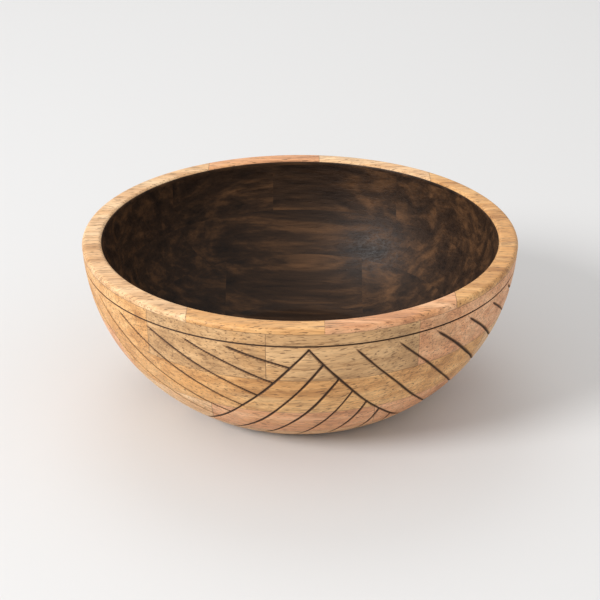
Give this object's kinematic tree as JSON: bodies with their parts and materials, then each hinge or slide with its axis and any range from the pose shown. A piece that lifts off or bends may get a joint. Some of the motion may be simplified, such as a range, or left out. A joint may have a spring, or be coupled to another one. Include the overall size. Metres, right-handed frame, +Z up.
{
  "type": "carved wooden bowl",
  "caption": "Round turned wooden serving bowl with carved slanting lines outside, a turned line under the rim, a dark inside and small rubber feet.",
  "frame": {"origin": "centre of the bowl on the plane of the rubber feet's undersides", "axes": "+Z up along the turning axis, -Y towards the front"},
  "size_m": [0.2997, 0.2998, 0.116],
  "materials": {
    "wood_light": "satin light tan wood, dark walnut-brown stain inside",
    "wood_gold": "satin golden brown wood, dark walnut-brown stain inside",
    "wood_rose": "satin pinkish tan wood, dark walnut-brown stain inside",
    "wood_olive": "satin greyish brown wood, dark walnut-brown stain inside",
    "rubber_feet": "matt black rubber",
    "plate_dark": "dark satin plate"
  },
  "bodies": {
    "root": {"foot_board_front": "wood_light", "foot_board_middle": "wood_gold", "foot_board_back": "wood_light", "lower_block_left": "wood_light", "lower_block_front": "wood_rose", "lower_block_back": "wood_gold", "lower_block_right": "wood_rose", "middle_block_front": "wood_gold", "middle_block_left": "wood_rose", "middle_block_right": "wood_light", "middle_block_back_left": "wood_gold", "middle_block_back_right": "wood_olive", "middle_block_back": "wood_rose", "upper_block_left": "wood_gold", "upper_block_front_left": "wood_olive", "upper_block_front_right": "wood_olive", "upper_block_right": "wood_rose", "upper_block_back_right": "wood_light", "upper_block_back_left": "wood_gold", "rim_slip_left": "wood_light", "rim_slip_front_left": "wood_gold", "rim_slip_front_right": "wood_rose", "rim_slip_right": "wood_gold", "rim_slip_back_right": "wood_light", "rim_slip_back_left": "wood_rose", "rubber_foot_1": "rubber_feet", "rubber_foot_2": "rubber_feet", "rubber_foot_3": "rubber_feet", "base_plate": "plate_dark"}
  },
  "joints": []
}
